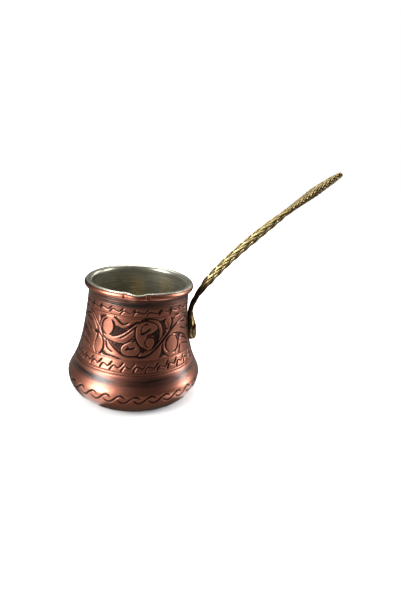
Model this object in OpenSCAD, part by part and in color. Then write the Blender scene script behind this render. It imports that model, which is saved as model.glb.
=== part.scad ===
// Turkish coffee pot (cezve): a spun copper pot with a beaded rim and a small
// pressed pouring lip, tinned inside, with a cast brass handle held to its
// neck by two copper rivets.
//
// Millimetres, +Z up. The origin is the centre of the flat base. +X runs along
// the handle, and the pouring lip faces -Y, on the left of the hand.

/* [Pot] */
// Height from the base to the top of the tinned rim
pot_h = 72.5; // [66:0.1:90]
// Outer radius at the widest part of the belly
belly_r = 41.1; // [36:0.1:50]
// Height of the widest part of the belly above the base
belly_z = 14.9; // [11:0.1:18]
// Radius of the flat base
base_r = 28.9; // [20:0.1:32]
// Outer radius of the neck just under the rim
neck_r = 29.8; // [24:0.1:36]
// Thickness of the copper sheet
wall = 1.2; // [0.8:0.1:1.6]
// How far the belly runs straight up before it turns in to the neck
belly_pull = 3.9; // [2:0.1:8]
// How far the neck runs straight down before it turns out to the belly
neck_pull = 43.9; // [30:0.1:48]
// How far the neck widens over that stretch
neck_flare = 0.9; // [0:0.1:3]

/* [Rim] */
// Radius of the bead that is rolled round the rim
bead_r = 1.95; // [1.4:0.05:2.5]
// Depth of the pouring lip below the rim
lip_dip = 1.3; // [0.8:0.1:1.8]
// Radius of the pouring lip's round channel
lip_channel_r = 8; // [5:0.5:12]
// Slope of the pouring lip's channel, down and outwards
lip_slope = 6; // [0:1:12]

/* [Tin lining] */
// Thickness of the tin inside the pot and over its rim
tin = 0.3; // [0.2:0.05:0.5]
// How far round the bead the tin reaches, measured from the outside of the bead
tin_edge_angle = 58; // [40:1:80]

/* [Handle pad] */
// Width of the drop-shaped pad that lies on the neck
pad_w = 13; // [11:0.5:16]
// Distance from the rivets down to the bottom of the pad
pad_drop = 9.6; // [7:0.1:13]
// Distance from the rivets up to the top of the pad
pad_rise = 8.4; // [6:0.1:12]
// Width of the top of the pad, where the bar grows out of it
pad_top_w = 6.4; // [5:0.1:8]
// Thickness of the pad on the line of the rivets
pad_full_t = 4.7; // [3.6:0.1:6]
// Thickness of the pad at its bottom
pad_low_t = 1.8; // [1.2:0.1:3]
// Thickness of the pad at its top
pad_top_t = 3; // [2.4:0.1:4]
// Radius of the pad's round back, seen from above
pad_back_r = 10; // [8:0.5:20]

/* [Handle bar] */
// Height of the root of the bar above the rivets
bar_root_rise = 4.7; // [3:0.1:6]
// Reach of the tip beyond the root, along X
bar_reach = 82.3; // [60:0.1:110]
// Height of the tip above the root
bar_climb = 94.4; // [70:0.1:120]
// How far the root of the bar is drawn straight up the neck
bar_root_pull = 24.7; // [18:0.1:30]
// How far that pull leans in over the pot's rim
bar_root_lean = 6.8; // [4:0.1:8]
// Length of the straight run at the tip
bar_tip_pull = 6; // [3:0.5:20]
// Slope of the tip above the horizontal
bar_tip_slope = 32; // [20:1:45]
// Width of the bar at its widest
bar_w = 7.6; // [6:0.1:10]
// Thickness of the bar at its thickest
bar_t = 4.2; // [3:0.1:5.5]

/* [Rivets] */
// Distance from the top of the rim down to the rivets
rivet_drop = 28.2; // [26:0.1:31]
// Distance between the two rivets, round the outside of the neck
rivet_gap = 6; // [5.4:0.1:7]
// Radius of a rivet's shank
shank_r = 1.3; // [1:0.1:1.6]
// Radial clearance of a shank in its hole
shank_clearance = 0.05; // [0.02:0.01:0.1]
// Radius of the domed head outside
head_r = 2; // [1.8:0.1:2.4]
// Height of the domed head outside
head_h = 0.9; // [0.6:0.1:1.2]
// Radius of the flat head inside the pot
inner_head_r = 2.2; // [1.9:0.1:2.6]
// Height of the flat head inside the pot
inner_head_h = 0.7; // [0.5:0.1:1]

/* [Hidden] */
$fn = 96;

// Straight steps in the wall's curve, and in the curve under the belly
WALL_STEPS = 28;
FOOT_STEPS = 10;
// Rings along the handle bar, and sides round it
BAR_RINGS = 30;
BAR_SIDES = 14;
// Length added to a tool so that it cuts clean through
THROUGH = 1;

// The curve under the belly is one arc, tangent to the belly and cut by the base
foot_step_in = belly_r - base_r;
foot_r = (foot_step_in * foot_step_in + belly_z * belly_z) / (2 * foot_step_in);
foot_axis_r = belly_r - foot_r;

// The bead stands on the inner face of the neck and rolls outwards
copper_top = pot_h - tin;
bead_z = copper_top - bead_r;
bead_axis_r = neck_r - wall + bead_r;

// The wall from the belly up to the bead: a Bezier curve in (radius, height)
wall_curve = [
    [belly_r, belly_z],
    [belly_r, belly_z + belly_pull],
    [neck_r + neck_flare, bead_z - neck_pull],
    [neck_r, bead_z],
];

// Handle and rivets
rivet_z = pot_h - rivet_drop;
rivet_angle = rivet_gap / (2 * outer_r(rivet_z)) * 180 / PI;
pad_back_axis = outer_r(rivet_z) + pad_full_t - pad_back_r;
bar_root_z = rivet_z + bar_root_rise;
bar_root = [outer_r(bar_root_z) + pad_t(bar_root_z) / 2, bar_root_z];
bar_tip = bar_root + [bar_reach, bar_climb];
bar_curve = [
    bar_root,
    bar_root + [-bar_root_lean, bar_root_pull],
    bar_tip - bar_tip_pull * [cos(bar_tip_slope), sin(bar_tip_slope)],
    bar_tip,
];
// Share of the bar's length, share of its full width, share of its full thickness
bar_stations = [
    [0.00, 0.80, 0.62],
    [0.10, 0.74, 0.62],
    [0.20, 0.82, 0.74],
    [0.32, 1.00, 0.98],
    [0.52, 1.00, 1.00],
    [0.64, 0.84, 0.86],
    [0.74, 0.70, 0.76],
    [0.86, 1.00, 1.00],
    [0.95, 0.74, 0.80],
    [1.00, 0.40, 0.52],
];

// Point and unit direction at t on a cubic Bezier curve
function bezier(p, t) =
    pow(1 - t, 3) * p[0] + 3 * pow(1 - t, 2) * t * p[1]
    + 3 * (1 - t) * t * t * p[2] + t * t * t * p[3];
function bezier_slope(p, t) =
    pow(1 - t, 2) * (p[1] - p[0]) + 2 * (1 - t) * t * (p[2] - p[1]) + t * t * (p[3] - p[2]);
function unit(v) = v / norm(v);

// A point of the wall at t, moved by off along the outward normal
function wall_point(t, off = 0) =
    let (along = unit(bezier_slope(wall_curve, t)))
    bezier(wall_curve, t) + off * [along[1], -along[0]];
function wall_points(off = 0) = [for (i = [0:WALL_STEPS]) wall_point(i / WALL_STEPS, off)];

// Outer radius of the wall at a height above the belly
function outer_r(z) = lookup(z, [for (p = wall_points()) [p[1], p[0]]]);

// The arc under the belly, from the base up, for a face that lies inset inside the copper
function foot_points(inset = 0) =
    let (
        r = foot_r - inset,
        start = -asin((belly_z - inset) / r)
    )
    [for (i = [0:FOOT_STEPS - 1])
        let (a = start * (1 - i / FOOT_STEPS))
        [foot_axis_r + r * cos(a), belly_z + r * sin(a)]];

// The section of everything inside the face that lies inset inside the copper
module section(inset, top) {
    wall_part = wall_points(-inset);
    polygon(concat(
        [[0, inset]], foot_points(inset), wall_part,
        [[wall_part[WALL_STEPS][0], top], [0, top]]
    ));
}

// The space inside the pot, within the face that lies inset inside the copper
module inside(inset) {
    rotate_extrude() section(inset, pot_h + THROUGH);
}

// The bead's section, grown by the tin that lies on it
module bead_section(grow = 0) {
    translate([bead_axis_r, bead_z]) circle(r = bead_r + grow);
}

// The round channel that is pressed across the rim to make the pouring lip
module lip_channel(grow = 0) {
    channel_len = 3 * bead_r;
    translate([0, -bead_axis_r, pot_h - lip_dip + lip_channel_r])
        rotate([90 + lip_slope, 0, 0])
            cylinder(r = lip_channel_r + grow, h = 2 * channel_len, center = true);
}

// A hole or shank on the far rivet's axis, between two distances from the pot's axis
module on_rivet_axis(r, from, to) {
    rotate([0, 0, rivet_angle])
        translate([from, 0, rivet_z])
            rotate([0, 90, 0])
                cylinder(r = r, h = to - from);
}

module rivet_holes() {
    for (side = [0, 1])
        mirror([0, side, 0])
            on_rivet_axis(shank_r + shank_clearance, outer_r(rivet_z) / 2, 2 * outer_r(rivet_z));
}

module body() {
    color("#a5583a")
        difference() {
            rotate_extrude() {
                difference() {
                    section(0, bead_z);
                    section(wall, bead_z + THROUGH);
                }
                bead_section();
            }
            lip_channel(tin);
            rivet_holes();
        }
}

// Tin on the floor and wall, then over the inner and upper side of the bead
module tin_lining() {
    color("#b9b6a6")
        difference() {
            union() {
                rotate_extrude() {
                    difference() {
                        section(wall, bead_z);
                        section(wall + tin, bead_z + THROUGH);
                    }
                    intersection() {
                        difference() {
                            bead_section(tin);
                            bead_section();
                        }
                        tin_sector();
                    }
                }
                intersection() {
                    rotate_extrude() bead_section();
                    lip_channel(tin);
                }
            }
            lip_channel();
            rivet_holes();
        }
}

// The part of the bead's section that the tin covers, seen from the bead's centre
module tin_sector() {
    reach = 3 * bead_r;
    translate([bead_axis_r, bead_z])
        polygon([
            [0, 0],
            reach * [cos(tin_edge_angle), sin(tin_edge_angle)],
            [0, reach],
            [-reach, reach],
            [-reach, 0],
        ]);
}

// Thickness of the pad at a height: thin at its ends and full at the rivets
function pad_t(z) =
    let (
        end_t = z < rivet_z ? pad_low_t : pad_top_t,
        end_z = z < rivet_z ? pad_drop : pad_rise,
        share = min(1, abs(z - rivet_z) / end_z)
    )
    pad_full_t + (end_t - pad_full_t) * share * share;

// Everything inside the pad's outer face, from the belly to the bead
module pad_bulk() {
    intersection() {
        rotate_extrude()
            polygon(concat(
                [[0, belly_z]],
                [for (p = wall_points()) p + [pad_t(p[1]), 0]],
                [[0, bead_z]]
            ));
        translate([pad_back_axis, 0, belly_z]) cylinder(r = pad_back_r, h = bead_z - belly_z);
    }
}

// Outline of the pad in (Y, Z) about the line of its rivets: a drop, hanging from the bar
module pad_outline() {
    low_r = pad_w / 2;
    low_z = low_r - pad_drop;
    top_r = pad_top_w / 2;
    top_z = pad_rise - top_r;
    lean = asin((low_r - top_r) / (top_z - low_z));
    side = [cos(lean), sin(lean)];
    other_side = [-cos(lean), sin(lean)];
    translate([0, low_z]) circle(r = low_r);
    translate([0, top_z]) circle(r = top_r);
    polygon([
        [0, low_z] + low_r * side,
        [0, top_z] + top_r * side,
        [0, top_z] + top_r * other_side,
        [0, low_z] + low_r * other_side,
    ]);
}

module pad() {
    difference() {
        intersection() {
            pad_bulk();
            translate([0, 0, rivet_z])
                rotate([90, 0, 90])
                    linear_extrude(2 * belly_r) pad_outline();
        }
        rotate_extrude() section(0, bead_z);
    }
}

// The bar: an oval section carried along its curve
module bar() {
    ring_points = [
        for (i = [0:BAR_RINGS])
            let (
                t = i / BAR_RINGS,
                centre = bezier(bar_curve, t),
                along = unit(bezier_slope(bar_curve, t)),
                half_w = bar_w / 2 * lookup(t, [for (s = bar_stations) [s[0], s[1]]]),
                half_t = bar_t / 2 * lookup(t, [for (s = bar_stations) [s[0], s[2]]])
            )
            for (k = [0:BAR_SIDES - 1])
                let (
                    a = 360 * k / BAR_SIDES,
                    up = half_t * sin(a)
                )
                [centre[0] - up * along[1], half_w * cos(a), centre[1] + up * along[0]]
    ];
    sides = [
        for (i = [0:BAR_RINGS - 1], k = [0:BAR_SIDES - 1])
            let (
                next = (k + 1) % BAR_SIDES,
                low = i * BAR_SIDES,
                high = low + BAR_SIDES
            )
            each [[low + k, high + next, low + next], [low + k, high + k, high + next]]
    ];
    root_cap = [for (k = [0:BAR_SIDES - 1]) k];
    tip_cap = [for (k = [0:BAR_SIDES - 1]) (BAR_RINGS + 1) * BAR_SIDES - 1 - k];
    polyhedron(ring_points, concat(sides, [root_cap, tip_cap]));
}

module handle() {
    color("#b08d4a")
        difference() {
            union() {
                pad();
                bar();
            }
            rivet_holes();
        }
}

// A rivet on the far side: domed outside on the pad, flat on the tin inside
module rivet() {
    color("#8f4a2c") {
        pad_offset = pad_back_axis * sin(rivet_angle);
        pad_face = pad_back_axis * cos(rivet_angle) + sqrt(pad_back_r * pad_back_r - pad_offset * pad_offset);
        tin_face = outer_r(rivet_z) - wall - tin;
        dome_r = (head_r * head_r + head_h * head_h) / (2 * head_h);
        on_rivet_axis(shank_r, tin_face - inner_head_h / 2, pad_face + head_h / 2);
        difference() {
            rotate([0, 0, rivet_angle])
                translate([pad_face + head_h - dome_r, 0, rivet_z])
                    sphere(r = dome_r);
            pad_bulk();
        }
        intersection() {
            on_rivet_axis(inner_head_r, tin_face - inner_head_h, tin_face + wall);
            inside(wall + tin);
        }
    }
}

module rivet_lip_side() {
    mirror([0, 1, 0]) rivet();
}

module rivet_far_side() {
    rivet();
}

body();
tin_lining();
handle();
rivet_lip_side();
rivet_far_side();
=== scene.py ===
"""Turkish coffee pot: engraved copper pot, tinned inside, with a riveted cast brass handle.

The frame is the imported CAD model: origin at the centre of the base, +Z up, +X along the
handle, and the pouring lip towards -Y. Lengths here are in millimetres until a mesh is
finished, and angles round the pot are in degrees from -Y towards +X.
"""

import math

import bmesh
import bpy
import numpy as np
from mathutils import Matrix, Vector


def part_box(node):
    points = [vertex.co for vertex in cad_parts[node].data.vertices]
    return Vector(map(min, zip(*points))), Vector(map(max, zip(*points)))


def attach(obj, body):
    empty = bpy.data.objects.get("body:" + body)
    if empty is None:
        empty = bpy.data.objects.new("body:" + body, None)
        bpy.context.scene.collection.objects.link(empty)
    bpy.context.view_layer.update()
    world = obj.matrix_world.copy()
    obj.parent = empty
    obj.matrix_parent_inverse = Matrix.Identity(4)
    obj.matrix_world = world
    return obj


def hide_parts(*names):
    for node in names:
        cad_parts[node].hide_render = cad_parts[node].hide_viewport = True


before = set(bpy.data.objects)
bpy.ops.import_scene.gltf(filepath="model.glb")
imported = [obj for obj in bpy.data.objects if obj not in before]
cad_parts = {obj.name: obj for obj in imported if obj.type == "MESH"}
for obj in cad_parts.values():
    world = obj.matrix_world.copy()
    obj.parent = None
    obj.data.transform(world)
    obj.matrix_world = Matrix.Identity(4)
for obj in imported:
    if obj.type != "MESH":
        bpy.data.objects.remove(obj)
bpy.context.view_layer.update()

MM = 0.001


# ---------------------------------------------------------------- sizes

def box_mm(node):
    low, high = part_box(node)
    return low / MM, high / MM


body_high = box_mm("body")[1]
tin_high = box_mm("tin_lining")[1]
handle_high = box_mm("handle")[1]
rivet_low, rivet_high = box_mm("rivet_far_side")

POT_H = tin_high.z
BELLY_R = body_high.x
BELLY_Z = 14.9
BASE_R = 28.9
NECK_R = 29.8
WALL = 1.2
TIN = POT_H - body_high.z
BEAD_R = 1.95
BEAD_Z = body_high.z - BEAD_R
BEAD_AXIS_R = NECK_R - WALL + BEAD_R
FOOT_STEP_IN = BELLY_R - BASE_R
FOOT_R = (FOOT_STEP_IN ** 2 + BELLY_Z ** 2) / (2 * FOOT_STEP_IN)
FOOT_AXIS_R = BELLY_R - FOOT_R
BELLY_PULL = 3.9
NECK_PULL = (0.9, 43.9)
WALL_CURVE = [(BELLY_R, BELLY_Z), (BELLY_R, BELLY_Z + BELLY_PULL),
              (NECK_R + NECK_PULL[0], BEAD_Z - NECK_PULL[1]), (NECK_R, BEAD_Z)]
BEAD_SEAM_DROP = 1.5
TIN_EDGE_ANGLE = 58
# where the copper's inner face, hidden by the tin, has its rows, and how far its flat floor reaches
HIDDEN_ROWS = (60, 48, 38, 30, 24, 19, BELLY_Z, 8, 4)
HIDDEN_FLOOR_R = 26
RIVET_Z = (rivet_low.z + rivet_high.z) / 2

POT_COLUMNS = 525
TIN_COLUMNS = 300
MOTIF_TURN = 120
MOTIFS = 3


def bezier(points, t):
    t = np.asarray(t, float)[..., None]
    p = np.array(points, float)
    return ((1 - t) ** 3 * p[0] + 3 * (1 - t) ** 2 * t * p[1]
            + 3 * (1 - t) * t ** 2 * p[2] + t ** 3 * p[3])


def foot_point(angle, inset=0.0):
    """A point on the arc under the belly: angle 0 is the widest line, and negative angles go down."""
    r = FOOT_R - inset
    return FOOT_AXIS_R + r * math.cos(angle), BELLY_Z + r * math.sin(angle)


def wall_table():
    """Heights and outer radii of the wall, from the base to the bead."""
    lowest = -math.asin(BELLY_Z / FOOT_R)
    foot = np.array([foot_point(a) for a in np.linspace(lowest, 0, 60, endpoint=False)])
    wall = bezier(WALL_CURVE, np.linspace(0, 1, 400))
    both = np.vstack([foot, wall])
    return both[:, 1], both[:, 0]


TABLE_Z, TABLE_R = wall_table()
TABLE_SLOPE = np.gradient(TABLE_R, TABLE_Z)


def outer_r(z):
    return np.interp(z, TABLE_Z, TABLE_R)


def wall_normal(z):
    """Outward direction of the wall at a height, as (radial, vertical)."""
    slope = np.interp(z, TABLE_Z, TABLE_SLOPE)
    length = np.hypot(1, slope)
    return 1 / length, -slope / length


def smoothstep(low, high, x):
    t = np.clip((x - low) / (high - low), 0, 1)
    return t * t * (3 - 2 * t)


# ---------------------------------------------------------------- meshes

def link_object(name, data):
    made = bpy.data.objects.new(name, data)
    bpy.context.scene.collection.objects.link(made)
    return made


def link_piece(name, mesh, node, material):
    """A finished piece: at the origin, riding on the pot's body, standing for its CAD node."""
    piece = link_object(name, mesh)
    mesh.materials.clear()
    mesh.materials.append(material)
    for polygon in mesh.polygons:
        polygon.use_smooth = True
    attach(piece, "root")
    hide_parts(node)
    return piece


def finish_mesh(name, bm):
    mesh = bpy.data.meshes.new(name)
    bm.to_mesh(mesh)
    bm.free()
    return mesh


def applied_mesh(piece):
    """The piece's mesh with its modifiers or bevel applied."""
    graph = bpy.context.evaluated_depsgraph_get()
    return bpy.data.meshes.new_from_object(piece.evaluated_get(graph))


def get_points(mesh):
    points = np.empty(len(mesh.vertices) * 3)
    mesh.vertices.foreach_get("co", points)
    return points.reshape(-1, 3)


def get_normals(mesh):
    normals = np.empty(len(mesh.vertices) * 3)
    mesh.vertices.foreach_get("normal", normals)
    return normals.reshape(-1, 3)


def set_points(mesh, points):
    mesh.vertices.foreach_set("co", np.asarray(points, float).ravel())
    mesh.update()


def set_mask(mesh, name, values):
    layer = mesh.attributes.new(name, "FLOAT", "POINT")
    layer.data.foreach_set("value", np.asarray(values, np.float32))


def spun_mesh(name, section, columns):
    """A closed (radius, height) section spun into a shell, in millimetres."""
    bm = bmesh.new()
    ring = [bm.verts.new((r, 0, z)) for r, z in section]
    edges = [bm.edges.new((a, b)) for a, b in zip(ring, ring[1:])]
    bmesh.ops.spin(bm, geom=ring + edges, cent=(0, 0, 0), axis=(0, 0, 1), dvec=(0, 0, 0),
                   angle=2 * math.pi, steps=columns, use_merge=True, use_duplicate=False)
    bmesh.ops.remove_doubles(bm, verts=bm.verts, dist=1e-4)
    bmesh.ops.recalc_face_normals(bm, faces=bm.faces)
    return finish_mesh(name, bm)


def cylindrical(points):
    """Radius, degrees from -Y towards +X, and height."""
    r = np.hypot(points[:, 0], points[:, 1])
    u = np.degrees(np.arctan2(points[:, 0], -points[:, 1]))
    return r, u, points[:, 2]


def cartesian(r, u, z):
    a = np.radians(u)
    return np.stack([r * np.sin(a), -r * np.cos(a), z], -1)


# ---------------------------------------------------------------- pouring lip

LIP_AT = -1.6
LIP_HALF = 11.0
LIP_PUSH = 0.9
LIP_PUSH_INNER = 1.2
LIP_DIP = 0.8
NECK_BENDS = (64, 71.5)
BEAD_BENDS = (66, 72)
RIM_SHIFT = 0.6
RIM_RISE = 1.3
LEANS_FROM = 45


def press_lip(r, u, z):
    """Presses the rim outwards and down over the width of the pouring lip."""
    across = np.clip(np.abs(u - LIP_AT) / LIP_HALF, 0, 1)
    press = (1 - across ** 2) ** 2
    near_rim = smoothstep(*NECK_BENDS, z)
    at_rim = smoothstep(*BEAD_BENDS, z)
    inner = np.clip((BEAD_AXIS_R + BEAD_R - r) / (2 * BEAD_R), 0, 1)
    new_r = r + press * (LIP_PUSH * near_rim + LIP_PUSH_INNER * inner * at_rim)
    new_z = z - press * at_rim * LIP_DIP * (0.7 + 0.3 * inner)
    return new_r, new_z


def lean_rim(points):
    """The hand-finished rim is a little out of true: it leans to the handle, and its back is higher."""
    share = smoothstep(LEANS_FROM, POT_H, points[:, 2])
    points[:, 0] += RIM_SHIFT * share
    towards_back = (points[:, 1] / (2 * BEAD_AXIS_R) + 0.5).clip(0, 1.1)
    points[:, 2] += RIM_RISE * share * towards_back ** 2
    return points


# ---------------------------------------------------------------- engraving

LEAST_MM_PER_DEGREE = 0.5
TOOL_WIDTH = 1.2
TOOL_DEPTH = 1.15
BURR_H = 0.06
STIPPLE_H = 0.16


def wrap(u):
    return (u + 180) % 360 - 180


def smooth_line(points, closed=False, steps=5):
    """A Catmull-Rom curve through given points."""
    p = np.array(points, float)
    if closed:
        p = np.vstack([p[-1], p, p[0], p[1]])
    else:
        p = np.vstack([2 * p[0] - p[1], p, 2 * p[-1] - p[-2]])
    out = []
    for a, b, c, d in zip(p, p[1:], p[2:], p[3:]):
        for t in np.arange(steps) / steps:
            out.append(0.5 * ((2 * b) + (c - a) * t + (2 * a - 5 * b + 4 * c - d) * t ** 2
                              + (3 * b - a - 3 * c + d) * t ** 3))
    out.append(p[-2])
    return np.array(out)


def oval(centre, radii, start=0, end=360, steps=28):
    """Part of an oval: centre and radii in (degrees, millimetres), angles from +u towards +z."""
    a = np.radians(np.linspace(start, end, steps))
    return np.stack([centre[0] + radii[0] * np.cos(a), centre[1] + radii[1] * np.sin(a)], -1)


class Engraving:
    """Depth of cut and darkness over the outer wall, gathered stroke by stroke."""

    def __init__(self, u, z, on_wall):
        self.u, self.z, self.on_wall = u, z, on_wall
        self.scale = np.radians(outer_r(z))
        self.depth = np.zeros(len(u))
        self.dark = np.zeros(len(u))
        self.ground = np.zeros(len(u))
        self.random = np.random.default_rng(7).random(len(u))

    def near(self, line, margin):
        """Points of the wall inside the line's box, grown by a margin in millimetres."""
        low, high = line.min(0), line.max(0)
        middle = (low[0] + high[0]) / 2
        half = (high[0] - low[0]) / 2 + margin / LEAST_MM_PER_DEGREE
        found = self.on_wall & (self.z > low[1] - margin) & (self.z < high[1] + margin)
        return np.nonzero(found & (np.abs(wrap(self.u - middle)) < half))[0]

    def distance(self, line, index):
        """Distance in millimetres to the line, and the share of its length at the nearest place."""
        u, z, scale = self.u[index], self.z[index], self.scale[index]
        best = np.full(len(index), np.inf)
        share = np.zeros(len(index))
        spans = len(line) - 1
        for i in range(spans):
            start, end = line[i], line[i + 1]
            px, pz = wrap(u - start[0]) * scale, z - start[1]
            sx, sz = (end[0] - start[0]) * scale, end[1] - start[1]
            t = np.clip((px * sx + pz * sz) / (sx * sx + sz * sz + 1e-12), 0, 1)
            d = np.hypot(px - t * sx, pz - t * sz)
            closer = d < best
            best[closer] = d[closer]
            share[closer] = (i + t[closer]) / spans
        return best, share

    def cut(self, line, width, depth):
        """A chased line: a round-bottomed groove with a slight burr on each side."""
        line = np.asarray(line, float)
        width, depth = width * TOOL_WIDTH, depth * TOOL_DEPTH
        index = self.near(line, width)
        d, share = self.distance(line, index)
        half = width / 2 * np.minimum(1, 0.45 + 5 * np.minimum(share, 1 - share))
        x = d / half
        groove = depth * np.clip(1 - x ** 2, 0, 1) ** 1.5 * (half / (width / 2))
        burr = BURR_H * np.exp(-((x - 1.4) / 0.3) ** 2)
        self.depth[index] = np.maximum(self.depth[index], groove)
        still_flat = self.depth[index] < 0.02
        self.depth[index] -= np.where(still_flat, burr, 0)
        self.dark[index] = np.maximum(self.dark[index], smoothstep(1.25, 0.75, x))

    def sink(self, outline, depth=0.3):
        """Punched ground: the area inside the outline goes down and is stippled."""
        outline = smooth_line(outline, closed=True, steps=4)
        index = self.near(outline, 0.6)
        u, z = self.u[index], self.z[index]
        inside = np.zeros(len(index), bool)
        for start, end in zip(outline, outline[1:]):
            spans = (start[1] > z) != (end[1] > z)
            rise = (end[1] - start[1]) or 1e-9
            cross_u = (end[0] - start[0]) * (z - start[1]) / rise
            inside ^= spans & (wrap(u - start[0]) < cross_u)
        d, _ = self.distance(outline, index)
        signed = np.where(inside, d, -d)
        sunk = smoothstep(-0.15, 0.35, signed)
        stipple = STIPPLE_H * (self.random[index] - 0.5) * sunk
        self.depth[index] = np.maximum(self.depth[index], (depth + stipple) * sunk)
        self.dark[index] = np.maximum(self.dark[index], 0.97 * sunk)
        self.ground[index] = np.maximum(self.ground[index], sunk)

    def smudge(self, centre, radii, amount):
        """A cloud of dark oxide that the polishing left between the leaves."""
        away = (wrap(self.u - centre[0]) / radii[0]) ** 2 + ((self.z - centre[1]) / radii[1]) ** 2
        self.dark = np.maximum(self.dark, np.where(self.on_wall, amount * np.exp(-away), 0))


def engrave_frieze(tool, turn):
    """One vine motif, 120 degrees wide, turned round the neck."""

    def cut(points, width=0.9, depth=0.34, raw=False):
        line = np.asarray(points, float) if raw else smooth_line(points)
        tool.cut(line + (turn, 0), width, depth)

    def sink(points):
        tool.sink(np.array(points, float) + (turn, 0))

    # round fruit on the left, inside its own loop of stem
    cut(oval((-30.8, 51.4), (7.5, 4.8), 100, 262), 0.85, raw=True)
    cut(oval((-30.8, 51.4), (7.6, 4.8), 292, 418), 1.2, 0.4, raw=True)
    cut([(-34.6, 57.4), (-38.4, 56.2), (-41, 53.9), (-41.6, 51.2)], 0.8)
    sink([(-43.2, 56.6), (-37, 57.2), (-39.6, 55.4), (-41.6, 53.2)])

    # stem that sweeps from under that fruit up to the big scroll
    cut([(-41.8, 51.6), (-38.6, 48.6), (-36, 46.3), (-32.6, 44.6), (-28, 43.9), (-21, 43.2),
         (-14, 43.1), (-9, 44.1), (-5, 46), (-2.2, 48.2)])
    cut([(-27, 46.7), (-22, 46.9), (-16, 48.3), (-10, 50.6), (-5, 53), (0, 55.2), (6, 57)], 0.8)
    cut([(-17, 46), (-12.6, 47.3), (-8, 49.3), (-4, 51.4), (-0.6, 53.4)], 1.0)
    sink([(-23.4, 52.2), (-18, 51.9), (-13, 51.3), (-9, 51.7), (-12.6, 49.6), (-17.6, 47.9),
          (-23, 46.9), (-26, 47.1), (-23.4, 49)])

    # folded leaf over it
    cut([(-25, 57.6), (-21, 56.5), (-17, 54.9), (-14, 54.2), (-11, 54.5), (-7.6, 55.5)], 1.1, 0.4)
    cut([(-22.8, 52.6), (-18, 52.1), (-13, 51.5), (-9, 52.4), (-4, 54.5), (1, 56.6)], 0.9)

    # leaf and ground in the lower left
    cut([(-41.8, 46.6), (-38, 45.2), (-35.5, 43.9), (-33.8, 41.4), (-33.6, 38.6), (-35.2, 36.3),
         (-38.2, 34.9)], 1.1, 0.4)
    cut([(-41.8, 45), (-44.5, 41.4), (-45, 38.2), (-43.5, 36.2), (-40.5, 35)], 0.7, 0.26)
    sink([(-49.5, 47.2), (-44, 47.8), (-41.6, 46.2), (-42.2, 43.6), (-43.8, 42.2), (-45.2, 42.8),
          (-44.8, 45.2), (-48.8, 45.8)])
    cut([(-31.4, 44), (-30.6, 41.8), (-29.2, 39.8), (-26.6, 38.7), (-22.6, 37.6)], 0.9)
    cut([(-29.6, 43.8), (-25, 41.7), (-20, 39.8), (-15, 38), (-10.6, 36.9), (-5, 36.4), (0, 36.6),
         (3.4, 37.8), (5, 39.8), (4.6, 41.6), (2.6, 43.4), (0.4, 45.4), (-0.9, 47.6), (-1.3, 50),
         (-0.8, 52.2), (0.6, 54.2)], 1.0, 0.38)
    cut([(-34, 36.3), (-28, 35.8), (-21, 35.4), (-13, 34.7)], 0.9)
    sink([(-29, 44), (-24, 43.1), (-18, 42.7), (-13.6, 42.9), (-15.2, 41.4), (-15.4, 39.6),
          (-14.4, 38.5), (-18, 39.7), (-22, 41.2), (-26, 42.7)])
    sink([(-34, 37.2), (-31.6, 37.4), (-28.4, 36.3), (-22, 35.1), (-27.2, 34.9), (-33.4, 35.1)])

    # fruit with its seed, under the stem
    cut([(-4.6, 45), (-9, 44), (-13, 42.5), (-15, 40.4), (-14, 38.3), (-11, 37)], 0.8)
    cut([(-9.6, 40), (-6.6, 40.5), (-3.4, 40.7), (0, 41.3)], 1.3, 0.42)
    cut([(-7.8, 41.9), (-6.6, 40.9), (-5.6, 40.2)], 0.9)
    sink([(-4.6, 45.4), (-2, 44.3), (-0.4, 45.4), (-1.6, 47.2), (-2.6, 46.8)])

    # big scroll with a comma leaf and a small fruit inside
    cut([(1.4, 54.8), (4.8, 56.2), (9, 56.7), (13, 56.4), (17.4, 55.5), (21, 53.8), (23.2, 51.2),
         (23.6, 48.4), (22.4, 45.6), (20.4, 43.2), (17, 41.2), (13.4, 39.8)], 0.9)
    cut([(4, 57.2), (10, 57.9), (16, 57.7), (21.6, 56.7), (25.4, 54.6), (27.6, 51.6), (28, 48.8),
         (26.8, 46.6)], 0.9)
    cut([(4.2, 49.7), (7, 49.4), (10.4, 50.5), (14.6, 52.3)], 1.3, 0.42)
    cut([(5, 50.4), (5.2, 52.2), (6.6, 53.9), (9, 54.8), (12, 54.9)], 0.8, 0.3)
    cut(oval((14, 44.4), (5, 3.1), -70, 250), 0.85, raw=True)
    cut([(10.6, 48), (13.4, 48.9), (17, 48.4)], 0.9)
    sink([(4.9, 42.4), (8, 41.7), (11, 40.8), (13.4, 40.1), (10, 39.2), (5.6, 38.3), (5.3, 40.2)])
    sink([(14.8, 49.6), (18.2, 50.8), (22.7, 52.2), (23.2, 48.8), (22.2, 45.4), (20, 42.9),
          (19, 45.2), (17.2, 47.8)])

    # long stem that rises to the right under the scroll
    cut([(-2, 36.4), (4, 36.2), (9, 36.5), (13, 37.5), (17, 39.2), (21, 41.2), (26, 43.8),
         (30.6, 46.3), (35, 48.5), (40, 50.6), (45, 52.3), (50, 53.8), (56, 54.7), (62, 55.6)],
        1.2, 0.4)
    cut([(14, 39.8), (18.6, 41.9), (23, 44.4), (28, 47.4), (32.6, 49.8)], 0.7, 0.26)

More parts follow.
